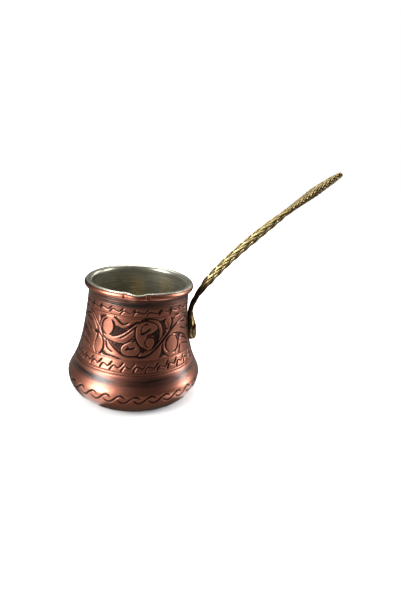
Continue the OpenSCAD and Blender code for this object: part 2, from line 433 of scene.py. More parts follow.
    # ground and petals between the scroll and the top
    sink([(23, 56.7), (26.6, 56.9), (30.6, 57.3), (29.2, 55.1), (30.6, 53), (32.8, 51.4),
          (31.8, 49.6), (27, 46.9), (28.6, 50), (27.8, 53), (25.6, 55.2)])
    cut([(31, 57.4), (28.8, 55.3), (30.4, 52.9), (33.2, 51), (34.6, 49.8)], 0.8)
    cut([(37.8, 57.4), (39.9, 55.4), (39.2, 52.8), (36, 50.3)], 1.1, 0.4)
    cut([(39.8, 56), (42.4, 57), (46, 57.8), (51, 57.9)], 1.0)
    cut([(33.4, 55.2), (34.2, 53.6), (34.6, 51.8)], 0.6, 0.22)

    # round fruit on the right, inside its own loop of stem
    cut(oval((39.4, 41.6), (8.5, 5), 78, 238), 1.0, raw=True)
    cut(oval((39.4, 41.6), (9, 5), 272, 415), 1.0, raw=True)
    cut([(27.8, 43.2), (27.2, 40.4), (28.4, 38), (31, 36), (34, 34.9)], 0.9)
    cut([(26.4, 41.6), (26.2, 39.4), (25, 37), (22.4, 35)], 0.7)
    sink([(27, 42.6), (27.4, 40), (28.6, 37.9), (31, 36), (33.4, 34.9), (28, 35.7), (22.8, 35),
          (25.4, 37), (26.6, 39.6)])
    sink([(45, 46.9), (50, 46.2), (55, 45.1), (52.4, 43.4), (50.6, 40.4), (49.8, 43), (47.6, 45.3)])

    # leaves that trail away from it
    cut([(41, 47.4), (47, 47), (53, 46), (59, 44.4), (65, 42.3)], 0.9)
    cut([(53.4, 43.9), (60, 42.4), (66, 40.3), (69, 38.6)], 0.8)
    cut([(54, 49.5), (60, 48), (66, 46.5)], 0.9)
    cut([(52, 52.9), (58, 52.6), (66, 51.5)], 0.9)
    cut([(51.6, 39.6), (50.2, 37.6), (49, 35.6), (48.2, 34.2)], 0.9)
    cut([(54, 39.4), (60, 38.9), (66, 37.9), (70, 36.4)], 0.7)
    cut([(62, 55.6), (67, 53.8), (71, 52), (75, 49.6), (78, 46.9)], 1.0)
    cut([(58, 57.4), (65, 56.6), (71, 54.2), (76, 51.8), (78.6, 50.6)], 0.8)
    tool.smudge((65 + turn, 42.5), (8, 5), 0.6)
    tool.smudge((82 + turn, 57.6), (6, 1.5), 0.7)


# height, width and depth of each line turned on the lathe
TURNED_LINES = [
    (66.6, 0.5, 0.08), (65.6, 0.5, 0.08), (64.6, 0.6, 0.12), (58.7, 0.8, 0.18), (57.9, 0.6, 0.14),
    (34.3, 0.7, 0.2), (33.5, 0.5, 0.12), (27.4, 0.9, 0.3), (26.2, 0.9, 0.3), (18.6, 0.5, 0.06),
    (9.3, 0.5, 0.06)]
# each border is a rope of equal strokes that overlap; a stroke's points are (degrees, millimetres)
ZIGZAG_UPPER = [(-2, -1.9), (0.4, 0), (3, 0.4), (6.5, -0.2), (9.5, -0.4), (11.8, 0.5), (14.2, 1.9)]
ZIGZAG_LOWER = [(-1.7, -2.4), (0.6, 0.1), (2.6, 0.5), (5.2, -0.2), (6.8, -0.4), (8.6, 0.6), (11, 2.6)]
WAVE = [(-8.8, -0.4), (-6.6, -1.9), (-4.2, -2.3), (-1.6, -1.5), (1.8, 0.9), (4.6, 2), (7, 1.8), (9, 0.7)]
BOLD_ENDS = 8
FINE_WIDTH = 0.75
FINE_DEPTH = 0.7


def zigzag_stroke(tool, line, width, depth):
    """A stroke that is bold at both ends, for BOLD_ENDS points of its line, and finer between them."""
    tool.cut(line[:BOLD_ENDS], width, depth)
    tool.cut(line[-BOLD_ENDS:], width, depth)
    tool.cut(line, FINE_WIDTH * width, FINE_DEPTH * depth)


def rope(hand, stroke, count, first, height, sway, rise):
    """The strokes of one border, set round the pot one by one with small random shifts, so they are never
    quite even or level.
    """
    for i in range(count):
        u = i * 360 / count + first + hand.uniform(-sway, sway)
        z = height + hand.uniform(-rise, rise)
        yield smooth_line(np.array(stroke) + (u, z))


def engrave_turned_lines(tool):
    for z, width, depth in TURNED_LINES:
        x = np.abs(tool.z - z) / (width / 2)
        on = tool.on_wall & (x < 2)
        groove = depth * np.clip(1 - x ** 2, 0, 1)
        shade = 0.75 * min(1, depth / 0.2) * smoothstep(1.3, 0.5, x)
        tool.depth[on] = np.maximum(tool.depth[on], groove[on])
        tool.dark[on] = np.maximum(tool.dark[on], shade[on])


def engrave_borders(tool):
    """The two zigzag borders, and the running wave on the belly."""
    hand = np.random.default_rng(11)
    for line in rope(hand, ZIGZAG_UPPER, count=27, first=-2.3, height=61.4, sway=0.6, rise=0.15):
        zigzag_stroke(tool, line, width=0.88, depth=0.38)
    for line in rope(hand, ZIGZAG_LOWER, count=33, first=0.4, height=30.4, sway=0.5, rise=0.15):
        zigzag_stroke(tool, line, width=0.94, depth=0.4)
    for line in rope(hand, WAVE, count=30, first=-3, height=13.6, sway=0.4, rise=0.12):
        tool.cut(line, width=1.0, depth=0.42)


# ---------------------------------------------------------------- copper pot

# from, to and spacing of the wall's rows, which are closest where it is engraved
ROW_BANDS = [
    (0, 9, 1.0), (9, 18.8, 0.38), (18.8, 25.6, 0.75), (25.6, 28, 0.34), (28, 33.2, 0.36),
    (33.2, 58.9, 0.365), (58.9, 64, 0.36), (64, 67, 0.33), (67, BEAD_Z - 1.6, 0.7)]
BASE_RINGS = 5
BEAD_ROWS = 14
ENGRAVED_FROM, ENGRAVED_TO = 1, 67.2
DENT_AT = -14.2
DENT_WIDTH = 1.0
DENT_HEIGHT = 0.5
NICKS_AT = (7.6, 9.6)
NICK_WIDTH = 0.5
MARK_DEPTH = 0.5


def bead_point(angle, skin=0.0):
    """A point on the bead, or on a skin over it: angle 0 is its outside, and 90 degrees its top."""
    r = BEAD_R + skin
    return BEAD_AXIS_R + r * math.cos(angle), BEAD_Z + r * math.sin(angle)


def copper_inside():
    """Rows of the copper's inner face, which the tin hides: down the wall and across the floor."""
    rows = [(outer_r(z) - WALL / wall_normal(z)[0], z) for z in HIDDEN_ROWS]
    return rows + [(HIDDEN_FLOOR_R, WALL), (0, WALL)]


def pot_section():
    """Rows of the copper pot: underside, outer wall, bead, then the hidden inner face."""
    rows = [(r, 0) for r in np.linspace(0, BASE_R, BASE_RINGS)]
    for low, high, step in ROW_BANDS:
        count = max(1, round((high - low) / step))
        heights = np.linspace(low, high, count, endpoint=False)
        rows += [(outer_r(z), z) for z in heights[1 if low == 0 else 0:]]
    start = math.atan2(-BEAD_SEAM_DROP, NECK_R - BEAD_AXIS_R)
    rows += [bead_point(a) for a in np.linspace(start, math.pi, BEAD_ROWS)]
    return rows + copper_inside()


def lip_tool_marks(r, u, z):
    """Depth of the lip tool's marks on the bead: a dent left of the lip, and two nicks right of it."""
    outside = smoothstep(BEAD_AXIS_R - 0.4, BEAD_AXIS_R + 0.4, r)
    on_bead = smoothstep(BEAD_Z - 1.6, BEAD_Z - 0.4, z) * outside
    away = (wrap(u - DENT_AT) / DENT_WIDTH) ** 2 + ((z - BEAD_Z + 0.1) / DENT_HEIGHT) ** 2
    nicks = sum(np.exp(-(wrap(u - at) / NICK_WIDTH) ** 2) for at in NICKS_AT)
    return on_bead * MARK_DEPTH * (np.exp(-away) + nicks)


def make_pot(material):
    mesh = spun_mesh("engraved_pot", pot_section(), POT_COLUMNS)
    r, u, z = cylindrical(get_points(mesh))
    on_wall = (z > ENGRAVED_FROM) & (z < ENGRAVED_TO) & (r > outer_r(z) - 0.4 * WALL)
    tool = Engraving(u, z, on_wall)
    engrave_turned_lines(tool)
    engrave_borders(tool)
    for i in range(MOTIFS):
        engrave_frieze(tool, i * MOTIF_TURN)
    out, up = wall_normal(z)
    r = r - np.where(on_wall, tool.depth * out, 0)
    z = z - np.where(on_wall, tool.depth * up, 0)
    marks = lip_tool_marks(r, u, z)
    r, z = press_lip(r - marks, u, z)
    set_points(mesh, lean_rim(cartesian(r, u, z)) * MM)
    set_mask(mesh, "cut_dark", np.maximum(tool.dark * on_wall, np.clip(4 * marks, 0, 1)))
    set_mask(mesh, "punched", tool.ground * on_wall)
    return link_piece("engraved_pot", mesh, "body", material)


# ---------------------------------------------------------------- tin

TIN_FLOOR_RINGS = (0, 9, 18)
TIN_FOOT_ROWS = 14
TIN_WALL_ROWS = 56


def tin_section():
    """The tin's face from the floor up and over the bead, and back along the copper."""
    inner = WALL + TIN
    rows = [(r, inner) for r in TIN_FLOOR_RINGS]
    low_angle = -math.asin((BELLY_Z - inner) / (FOOT_R - inner))
    rows += [foot_point(low_angle * (1 - i / TIN_FOOT_ROWS), inner) for i in range(TIN_FOOT_ROWS)]
    heights = np.linspace(BELLY_Z, BEAD_Z, TIN_WALL_ROWS)[:-1]
    rows += [(outer_r(z) - inner / wall_normal(z)[0], z) for z in heights]
    edge = math.radians(TIN_EDGE_ANGLE)
    for a in np.linspace(math.pi, edge, BEAD_ROWS):
        thinned = min(1, 0.25 + 3 * (a - edge))
        rows.append(bead_point(a, TIN * thinned))
    rows += [bead_point(a) for a in np.linspace(edge, math.pi, 8)]
    return rows + copper_inside()


def make_tin(material):
    mesh = spun_mesh("tin_coat", tin_section(), TIN_COLUMNS)
    r, u, z = cylindrical(get_points(mesh))
    r, z = press_lip(r, u, z)
    set_points(mesh, lean_rim(cartesian(r, u, z)) * MM)
    return link_piece("tin_coat", mesh, "tin_lining", material)


# ---------------------------------------------------------------- handle

BAR_ROOT_RISE = 4.7
BAR_ROOT_OUT = 1.85
BAR_ROOT_LEAN, BAR_ROOT_PULL = 6.8, 24.7
BAR_TIP_PULL = (5.1, 3.2)
BAR_TIP_CAP = (0.6, 0.9)
BAR_ROOT = (outer_r(RIVET_Z + BAR_ROOT_RISE) + BAR_ROOT_OUT, RIVET_Z + BAR_ROOT_RISE)
BAR_TIP = (handle_high.x - BAR_TIP_CAP[0], handle_high.z - BAR_TIP_CAP[1])
BAR_CURVE = [BAR_ROOT, (BAR_ROOT[0] - BAR_ROOT_LEAN, BAR_ROOT[1] + BAR_ROOT_PULL),
             (BAR_TIP[0] - BAR_TIP_PULL[0], BAR_TIP[1] - BAR_TIP_PULL[1]), BAR_TIP]
BAR_W = 7.6
BAR_T = 4.2
# share of the bar's length, share of its width, share of its thickness
BAR_STATIONS = np.array([
    (0.00, 0.76, 0.64), (0.10, 0.64, 0.60), (0.16, 0.78, 0.74), (0.21, 0.98, 0.94), (0.52, 1.00, 1.02),
    (0.62, 0.86, 0.88), (0.68, 0.62, 0.68), (0.74, 0.78, 0.78), (0.85, 1.10, 1.08), (0.95, 0.84, 0.86),
    (1.00, 0.48, 0.58)])

STRAND_PITCH = 7.2
STRAND_LEAN = 1.9
STRAND_H = 0.75
STRAND_WIRES = 3
WIRE_H = 0.36
GAP_DEPTH = 0.3
DIAMOND_PITCH = 2.7
DIAMOND_H = 0.5
# shares of the bar's length between which one pattern gives way to the next
PLAIT_STARTS = (0.12, 0.2)
DIAMONDS_START = (0.68, 0.74)

PAD_W, PAD_DROP, PAD_RISE, PAD_TOP_W = 13.0, 9.6, 8.4, 6.4
PAD_BACK_R = 7.5
PAD_INSET = 0.4
PAD_GRID = 0.8
PAD_EDGE_ROUND = 1.2
PAD_EDGE_T = 0.62
PAD_BORDER_SHARE = 0.84
PAD_BORDER_R = 0.42
PAD_RIB_R = (0.5, 1.3)
# height from the rivets, thickness along the middle
PAD_STATIONS = np.array([
    (-9.6, 1.7), (-9.0, 2.9), (-8.1, 4.1), (-6.6, 4.9), (-4, 5.3), (-1.5, 5.3), (1, 4.9), (4, 3.9),
    (8.4, 2.8)])

VOXEL = 0.22
POINTS_AT_ONCE = 20000
# how dark the painted shade is under the bar, on the neck and behind the pad
UNDERSIDE_SHADE = 0.5
NECK_SHADE = 0.82
BEHIND_PAD_SHADE = 0.9
# share of the handle's height where the painted shade on the neck ends
NECK_FADES = (0.515, 0.485)


def in_handle_plane(pairs):
    """(x, z) pairs as points or directions in the plane that the handle lies in."""
    return np.stack([pairs[:, 0], np.zeros(len(pairs)), pairs[:, 1]], -1)


class BarLine:
    """The bar's middle line: centre, direction, upward normal, length so far, width and thickness."""

    def __init__(self, count):
        middle = bezier(BAR_CURVE, np.linspace(0, 1, count))
        along = np.gradient(middle, axis=0)
        step = np.hypot(*along.T)
        along /= step[:, None]
        self.length = np.concatenate([[0], np.cumsum((step[1:] + step[:-1]) / 2)])
        share = self.length / self.length[-1]
        self.width = BAR_W * np.interp(share, BAR_STATIONS[:, 0], BAR_STATIONS[:, 1])
        self.thick = BAR_T * np.interp(share, BAR_STATIONS[:, 0], BAR_STATIONS[:, 2])
        self.centre = in_handle_plane(middle)
        self.along = in_handle_plane(along)
        self.normal = in_handle_plane(np.stack([-along[:, 1], along[:, 0]], -1))


def wire(curve, points, radii):
    """One round wire, as a spline of a bevelled curve."""
    spline = curve.splines.new("POLY")
    spline.points.add(len(points) - 1)
    for point, co, radius in zip(spline.points, points, radii):
        point.co = (*co, 1)
        point.radius = radius


def add_bar(curve):
    """The plain bar: a bundle of round wires side by side, which gives it round edges."""
    bar = BarLine(120)
    side = np.array([0.0, 1.0, 0.0])
    reach = np.maximum(bar.width - bar.thick, 0) / 2
    for offset in np.linspace(-1, 1, 5):
        wire(curve, bar.centre + side * (offset * reach)[:, None], bar.thick / 2)


def above_pad(z):
    return smoothstep(RIVET_Z + PAD_RISE, RIVET_Z + PAD_RISE + 3, z)


def plait_at(s, round_edge, y, up):
    """Height and seams of the plait. The strands of the bar's two halves alternate."""
    phase = (s - STRAND_LEAN * round_edge) / STRAND_PITCH + 0.5 * (y > 0) + 0.25 * (up < 0)
    strand = phase % 1
    to_gap = np.minimum(strand, 1 - strand)
    wires = np.sqrt(np.clip(1 - (2 * ((STRAND_WIRES * strand) % 1) - 1) ** 2, 0, 1))
    height = WIRE_H * (wires - 0.75) + STRAND_H * (np.sin(math.pi * strand) - 0.5)
    height -= GAP_DEPTH * smoothstep(0.13, 0, to_gap)
    height *= 0.35 + 0.65 * smoothstep(0, 0.5, np.abs(y))
    to_wire_gap = np.abs(np.abs(strand - 0.5) - 0.5 / STRAND_WIRES)
    seams = np.maximum(smoothstep(0.2, 0.09, to_gap), 0.85 * smoothstep(0.055, 0.015, to_wire_gap))
    return height, seams


def diamonds_at(s, round_edge):
    """Height and furrows of the small diamonds on the outer end."""
    turn = math.pi / DIAMOND_PITCH
    crossing = np.abs(np.sin(turn * (s - round_edge)) * np.sin(turn * (s + round_edge)))
    return DIAMOND_H * (np.sqrt(crossing) - 0.55), 0.55 * smoothstep(0.36, 0.1, crossing)


def bar_pattern(points):
    """Height of the cast pattern at points on the bar's skin, in millimetres, and its dark seams.

    The pattern is laid out by length along the bar, s, and by distance round its section from
    the middle of the broad face over the edge, round_edge.
    """
    bar = BarLine(260)
    relief = np.zeros(len(points))
    dark = np.zeros(len(points))
    for first in range(0, len(points), POINTS_AT_ONCE):
        some = slice(first, first + POINTS_AT_ONCE)
        part = points[some]
        gaps = part[:, None, [0, 2]] - bar.centre[None, :, [0, 2]]
        nearest = np.argmin((gaps ** 2).sum(-1), 1)
        off = part - bar.centre[nearest]
        s = bar.length[nearest] + np.einsum("ij,ij->i", off, bar.along[nearest])
        up = np.einsum("ij,ij->i", off, bar.normal[nearest])
        y = part[:, 1]
        round_edge = np.abs(y) + bar.thick[nearest] / 2 - np.abs(up)
        plait, seams = plait_at(s, round_edge, y, up)
        diamonds, furrows = diamonds_at(s, round_edge)
        share = s / bar.length[-1]
        outer_end = smoothstep(*DIAMONDS_START, share)
        strength = 0.5 + 0.5 * smoothstep(*PLAIT_STARTS, share)
        relief[some] = strength * (plait + (diamonds - plait) * outer_end)
        dark[some] = seams + (furrows - seams) * outer_end
    on_bar = above_pad(points[:, 2])
    return relief * on_bar, dark * on_bar


def pad_thickness(z):
    return np.interp(z - RIVET_Z, PAD_STATIONS[:, 0], PAD_STATIONS[:, 1])


def pad_front(y, z):
    """X of the pad's outer face, which is round across."""
    axis = outer_r(z) + pad_thickness(z) - PAD_BACK_R
    return axis + np.sqrt(np.clip(PAD_BACK_R ** 2 - y ** 2, 0, None))


def pad_outline(count):
    """The drop in (y, z): a low arc, then straight flanks up to a small arc under the bar."""
    low_r, top_r = PAD_W / 2, PAD_TOP_W / 2
    low_z, top_z = RIVET_Z - PAD_DROP + low_r, RIVET_Z + PAD_RISE - top_r
    lean = math.asin((low_r - top_r) / (top_z - low_z))
    low = [(low_r * math.cos(a), low_z + low_r * math.sin(a))
           for a in np.linspace(-math.pi - lean, lean, round(count * 0.6))]
    top = [(top_r * math.cos(a), top_z + top_r * math.sin(a))
           for a in np.linspace(lean, math.pi - lean, round(count * 0.4))]
    return low + top


def slice_across(bm, at, normal):
    """Adds a row of edges where a plane crosses the mesh."""
    everything = bm.verts[:] + bm.edges[:] + bm.faces[:]
    bmesh.ops.bisect_plane(bm, geom=everything, dist=1e-5, plane_co=at, plane_no=normal)


def pad_mesh():
    """The drop-shaped pad, domed outside and curved to the neck inside, in millimetres."""
    bm = bmesh.new()
    outline = pad_outline(60)
    front = bm.faces.new([bm.verts.new((1, y, z)) for y, z in outline])
    back = bmesh.ops.extrude_face_region(bm, geom=[front])
    back_verts = [v for v in back["geom"] if isinstance(v, bmesh.types.BMVert)]
    bmesh.ops.translate(bm, verts=back_verts, vec=(-1, 0, 0))
    caps = [face for face in bm.faces if len(face.verts) > 4]
    for _ in range(3):
        bmesh.ops.inset_individual(bm, faces=caps, thickness=PAD_INSET, use_even_offset=True)
    for y in np.arange(-5.6, 5.7, PAD_GRID):
        slice_across(bm, (0, y, 0), (0, 1, 0))
    for z in np.arange(RIVET_Z - PAD_DROP + PAD_GRID, RIVET_Z + PAD_RISE, PAD_GRID):
        slice_across(bm, (0, 0, z), (0, 0, 1))
    bmesh.ops.triangulate(bm, faces=bm.faces)
    rim = np.array(outline)
    for v in bm.verts:
        y, z = v.co.y, v.co.z
        skin = math.sqrt(max(float(outer_r(z)) ** 2 - y ** 2, 0))
        if v.co.x < 0.5:
            v.co.x = skin
        else:
            inset = float(np.min(np.hypot(rim[:, 0] - y, rim[:, 1] - z)))
            rounding = math.sqrt(min(1.0, inset / PAD_EDGE_ROUND))
            edge = min(1.0, PAD_EDGE_T + (1 - PAD_EDGE_T) * rounding)
            v.co.x = skin + (float(pad_front(y, z)) - skin) * edge
    bmesh.ops.recalc_face_normals(bm, faces=bm.faces)
    return finish_mesh("pad", bm)


def add_pad_relief(curve):
    """A raised border round the pad, and a rib that runs up into the bar."""
    outline = np.array(pad_outline(60))
    middle = np.array([0, RIVET_Z - 2.5])
    border = middle + (outline - middle) * PAD_BORDER_SHARE
    border = np.vstack([border, border[:2]])
    points = np.stack([pad_front(border[:, 0], border[:, 1]) - 0.1, border[:, 0], border[:, 1]], -1)
    wire(curve, points, np.full(len(points), PAD_BORDER_R))
    z = np.linspace(RIVET_Z + 2.2, RIVET_Z + PAD_RISE, 14)
    rib = np.stack([pad_front(0, z) - 0.2, 0 * z, z], -1)
    wire(curve, rib, np.linspace(*PAD_RIB_R, len(z)))


def hollows(mesh, rounds=10, scale=0.09):
    """How far each point lies below its surroundings, from 0 on the crests to 1 in the seams."""
    points = get_points(mesh)
    edges = np.empty(len(mesh.edges) * 2, np.int64)
    mesh.edges.foreach_get("vertices", edges)
    a, b = edges.reshape(-1, 2).T
    count = len(points)
    degree = np.bincount(np.concatenate([a, b]), minlength=count)
    around = points.copy()
    for _ in range(rounds):
        total = np.stack([np.bincount(a, around[b, k], count) + np.bincount(b, around[a, k], count)
                          for k in range(3)], -1)
        around = 0.5 * around + 0.5 * total / degree[:, None]
    below = np.einsum("ij,ij->i", around - points, get_normals(mesh))
    return np.clip(0.5 + below / (2 * scale), 0, 1)


def fused_handle():
    """Bar and pad in one skin: a voxel remesh joins them, and then they are softened."""
    curve = bpy.data.curves.new("bar_and_relief", "CURVE")
    curve.dimensions = "3D"
    curve.bevel_depth = 1.0
    curve.bevel_resolution = 6
    curve.use_fill_caps = True
    add_bar(curve)
    add_pad_relief(curve)
    bar = link_object("bar_and_relief", curve)
    bm = bmesh.new()
    bm.from_mesh(applied_mesh(bar))
    bm.from_mesh(pad_mesh())
    bpy.data.objects.remove(bar)
    cast = link_object("cast", finish_mesh("cast", bm))
    remesh = cast.modifiers.new("fuse", "REMESH")
    remesh.mode = "VOXEL"
    remesh.voxel_size = VOXEL
    soften = cast.modifiers.new("soften", "SMOOTH")
    soften.factor = 0.5
    soften.iterations = 2
    mesh = applied_mesh(cast)
    bpy.data.objects.remove(cast)
    mesh.name = "plaited_handle"
    return mesh


def shaded_parts(points, normals):
    """Painted shade on the brass: under the bar, on its neck, and close to the pot behind the pad."""
    bar = BarLine(60)
    nearest = np.abs(points[:, 0, None] - bar.centre[None, :, 0]).argmin(1)
    faces_down = -np.einsum("ij,ij->i", normals, bar.normal[nearest])
    z = points[:, 2]
    on_bar = above_pad(z)
    under = UNDERSIDE_SHADE * smoothstep(-0.1, 0.5, faces_down) * on_bar
    neck = smoothstep(RIVET_Z + 5, RIVET_Z + 8, z) * smoothstep(*NECK_FADES, z / handle_high.z)
    from_pot = np.hypot(points[:, 0], points[:, 1]) - outer_r(z)
    behind_pad = BEHIND_PAD_SHADE * smoothstep(1.9, 0.9, from_pot) * (1 - on_bar)
    return np.maximum(np.maximum(under, NECK_SHADE * neck), behind_pad)


def make_handle(material):
    mesh = fused_handle()
    points, normals = get_points(mesh), get_normals(mesh)
    relief, dark = bar_pattern(points)
    set_points(mesh, points + relief[:, None] * normals)
    seams = np.maximum(smoothstep(0.38, 0.58, hollows(mesh)), dark)
    # adds the painted shade under the bar, on the neck and behind the pad
    seams = np.maximum(seams, shaded_parts(points, normals))
    set_points(mesh, get_points(mesh) * MM)
    set_mask(mesh, "seam_and_shade", seams)
    return link_piece("plaited_handle", mesh, "handle", material)


# ---------------------------------------------------------------- rivets

RIVET_HALF_GAP = 3.0
RIVET_ANGLE = math.degrees(RIVET_HALF_GAP / outer_r(RIVET_Z))
RIVET_HEAD_R = 2.2
RIVET_HEAD_H = 0.8
SHANK_R = 1.3
INNER_HEAD_R = 2.2
INNER_HEAD_H = 0.7
HAMMER_BLOWS = 5
HAMMER_LEAN = 0.55
HAMMER_REACH = 1.22


def rivet_section(pad_face, tin_face):
    """Half outline of a rivet along its axis: (radius, distance from the pot's axis)."""
    tin_end = tin_face - INNER_HEAD_H
    head = [(RIVET_HEAD_R * math.cos(a), pad_face + RIVET_HEAD_H * math.sin(a))
            for a in np.linspace(0, math.pi / 2, 12)]
    return ([(0, tin_end), (INNER_HEAD_R * 0.7, tin_end), (INNER_HEAD_R * 0.95, tin_end + 0.15),
             (INNER_HEAD_R, tin_end + 0.4), (INNER_HEAD_R, tin_face + 0.15), (SHANK_R, tin_face + 0.2),
             (SHANK_R, pad_face - 0.7), (RIVET_HEAD_R, pad_face - 0.6)] + head[:-1]
            + [(0, pad_face + RIVET_HEAD_H)])


def make_rivet(name, node, side, seed, material):
    """A hammered rivet on one side of the pad: side is -1 towards the lip, +1 away from it."""
    pad_face = math.hypot(pad_front(RIVET_HALF_GAP, RIVET_Z), RIVET_HALF_GAP)
    tin_face = outer_r(RIVET_Z) - WALL - TIN
    mesh = spun_mesh(name, rivet_section(pad_face, tin_face), 48)
    points = get_points(mesh)
    head = points[:, 2] > pad_face
    for blow in np.random.default_rng(seed).uniform(-1, 1, (HAMMER_BLOWS, 2)):
        direction = np.array([blow[0] * HAMMER_LEAN, blow[1] * HAMMER_LEAN, 1.0])
        direction /= np.linalg.norm(direction)
        above = (points - (0, 0, pad_face - 0.4)) @ direction - HAMMER_REACH
        points[head] -= np.clip(above, 0, None)[head, None] * direction * 0.85
    set_points(mesh, points)
    turn = Matrix.Rotation(side * math.radians(RIVET_ANGLE), 4, "Z")
    place = Matrix.Translation((0, 0, RIVET_Z))
    lay_down = Matrix.Rotation(math.radians(90), 4, "Y")
    mesh.transform(Matrix.Scale(MM, 4) @ turn @ place @ lay_down)
    return link_piece(name, mesh, node, material)


# ---------------------------------------------------------------- shader groups

def new_group(name, inputs, outputs):
    """An empty shader group with its named sockets: (name, socket type, default)."""
    group = bpy.data.node_groups.new(name, "ShaderNodeTree")
    for label, kind, default in inputs:
        socket = group.interface.new_socket(label, in_out="INPUT", socket_type=kind)
        if default is not None:
            socket.default_value = default
    for label, kind in outputs:
        group.interface.new_socket(label, in_out="OUTPUT", socket_type=kind)
    return group, group.nodes.new("NodeGroupInput"), group.nodes.new("NodeGroupOutput")


def math_node(tree, operation, a, b, clamp=False):
    made = tree.nodes.new("ShaderNodeMath")
    made.operation = operation
    made.use_clamp = clamp
    for socket, value in zip(made.inputs, (a, b)):
        if isinstance(value, (int, float)):
            socket.default_value = value
        else:
            tree.links.new(value, socket)
    return made.outputs[0]


def times(tree, a, b):
    return math_node(tree, "MULTIPLY", a, b)


def plus(tree, a, b):
    return math_node(tree, "ADD", a, b)


def larger(tree, a, b):
    return math_node(tree, "MAXIMUM", a, b)


def mix_node(tree, factor, a, b, kind="RGBA"):
    """A mix of two colours or values."""
    made = tree.nodes.new("ShaderNodeMix")
    made.data_type = kind
    slots = (6, 7, 2) if kind == "RGBA" else (2, 3, 0)
    for index, value in ((0, factor), (slots[0], a), (slots[1], b)):
        if isinstance(value, (int, float, tuple)):
            made.inputs[index].default_value = value
        else:
            tree.links.new(value, made.inputs[index])
    return made.outputs[slots[2]]


def noise(tree, vector, detail, roughness):
    made = tree.nodes.new("ShaderNodeTexNoise")
    made.inputs["Scale"].default_value = 1.0
    made.inputs["Detail"].default_value = detail
    made.inputs["Roughness"].default_value = roughness
    tree.links.new(vector, made.inputs["Vector"])
    return made.outputs["Fac"]


def ramp(tree, value, stops):
    """A value ramp: (position, brightness) stops."""
    made = tree.nodes.new("ShaderNodeValToRGB")
    elements = made.color_ramp.elements
    while len(elements) < len(stops):
        elements.new(0.5)
    for element, (position, brightness) in zip(elements, stops):
        element.position = position
        element.color = (brightness, brightness, brightness, 1)
    tree.links.new(value, made.inputs[0])
    return made.outputs[0]


def stretched(tree, vector, across, upwards):
    """Coordinates scaled by one number across the pot's axis and by another along it."""
    split = tree.nodes.new("ShaderNodeSeparateXYZ")
    tree.links.new(vector, split.inputs[0])
    joined = tree.nodes.new("ShaderNodeCombineXYZ")
    for axis, factor in enumerate((across, across, upwards)):
        tree.links.new(times(tree, split.outputs[axis], factor), joined.inputs[axis])
    return joined.outputs[0]


def turned_lines_group():
    """Fine lines left by polishing on the lathe: streaks that run round the pot's axis."""
    group, given, out = new_group(
        "turned_lines", [("Vector", "NodeSocketVector", None), ("Fineness", "NodeSocketFloat", 2400.0)],
        [("Lines", "NodeSocketFloat"), ("Smears", "NodeSocketFloat")])
    vector = given.outputs["Vector"]
    fine = noise(group, stretched(group, vector, 70.0, given.outputs["Fineness"]), 4.0, 0.7)
    broad = noise(group, stretched(group, vector, 45.0, 420.0), 3.0, 0.6)
    group.links.new(fine, out.inputs["Lines"])
    group.links.new(broad, out.inputs["Smears"])
    return group


def patina_group():
    """Where the metal is dark: in clouds of tarnish over it, and where the given darkening says, which
    brings the cuts and seams and, on the copper and the brass, painted shade.
    """
    group, given, out = new_group(
        "dark_mask", [("Vector", "NodeSocketVector", None), ("Cuts", "NodeSocketFloat", 0.0),
                   ("Clouds", "NodeSocketFloat", 0.3), ("Cloud Size", "NodeSocketFloat", 120.0)],
        [("Mask", "NodeSocketFloat")])
    scale = group.nodes.new("ShaderNodeVectorMath")
    scale.operation = "SCALE"
    group.links.new(given.outputs["Vector"], scale.inputs[0])
    group.links.new(given.outputs["Cloud Size"], scale.inputs["Scale"])
    cloud = ramp(group, noise(group, scale.outputs[0], 5.0, 0.6), [(0.4, 0.0), (0.72, 1.0)])
    weighted = times(group, cloud, given.outputs["Clouds"])
    group.links.new(math_node(group, "MAXIMUM", weighted, given.outputs["Cuts"], True), out.inputs["Mask"])
    return group


def pitted_group():
    """Small pits and bumps of hand-worked or cast metal, as a height."""
    group, given, out = new_group(
        "pitted", [("Vector", "NodeSocketVector", None), ("Pits", "NodeSocketFloat", 1400.0)],
        [("Height", "NodeSocketFloat")])
    cells = group.nodes.new("ShaderNodeTexVoronoi")
    cells.feature = "F1"
    group.links.new(given.outputs["Vector"], cells.inputs["Vector"])
    group.links.new(given.outputs["Pits"], cells.inputs["Scale"])
    group.links.new(cells.outputs["Distance"], out.inputs["Height"])
    return group


TURNED = turned_lines_group()
PATINA = patina_group()
PITTED = pitted_group()


def use_group(tree, group, **inputs):
    made = tree.nodes.new("ShaderNodeGroup")
    made.node_tree = group
    for label, value in inputs.items():
        socket = made.inputs[label.replace("_", " ")]
        if isinstance(value, (int, float)):
            socket.default_value = value
        else:
            tree.links.new(value, socket)
    return made.outputs


def metal(name, roughness, metallic=1.0):
    """A material with its Principled shader, and the object's own coordinates."""
    material = bpy.data.materials.new(name)
    material.use_nodes = True
    tree = material.node_tree
    shader = tree.nodes["Principled BSDF"]
    shader.inputs["Metallic"].default_value = metallic
    shader.inputs["Roughness"].default_value = roughness
    place = tree.nodes.new("ShaderNodeTexCoord").outputs["Object"]
    return material, tree, shader, place


def mask_of(tree, name):
    made = tree.nodes.new("ShaderNodeAttribute")
    made.attribute_name = name
    return made.outputs["Fac"]


def height_of(tree, place):
    split = tree.nodes.new("ShaderNodeSeparateXYZ")
    tree.links.new(place, split.inputs[0])
    return split.outputs[2]


def share_of_height(tree, place, whole):
    """Height as a share of a whole height in millimetres."""
    return math_node(tree, "DIVIDE", height_of(tree, place), whole * MM)


def bump(tree, shader, height, depth):
    """Fine relief, with its depth in millimetres."""
    made = tree.nodes.new("ShaderNodeBump")
    made.inputs["Strength"].default_value = 1.0
    made.inputs["Distance"].default_value = depth * MM
    tree.links.new(height, made.inputs["Height"])
    tree.links.new(made.outputs[0], shader.inputs["Normal"])


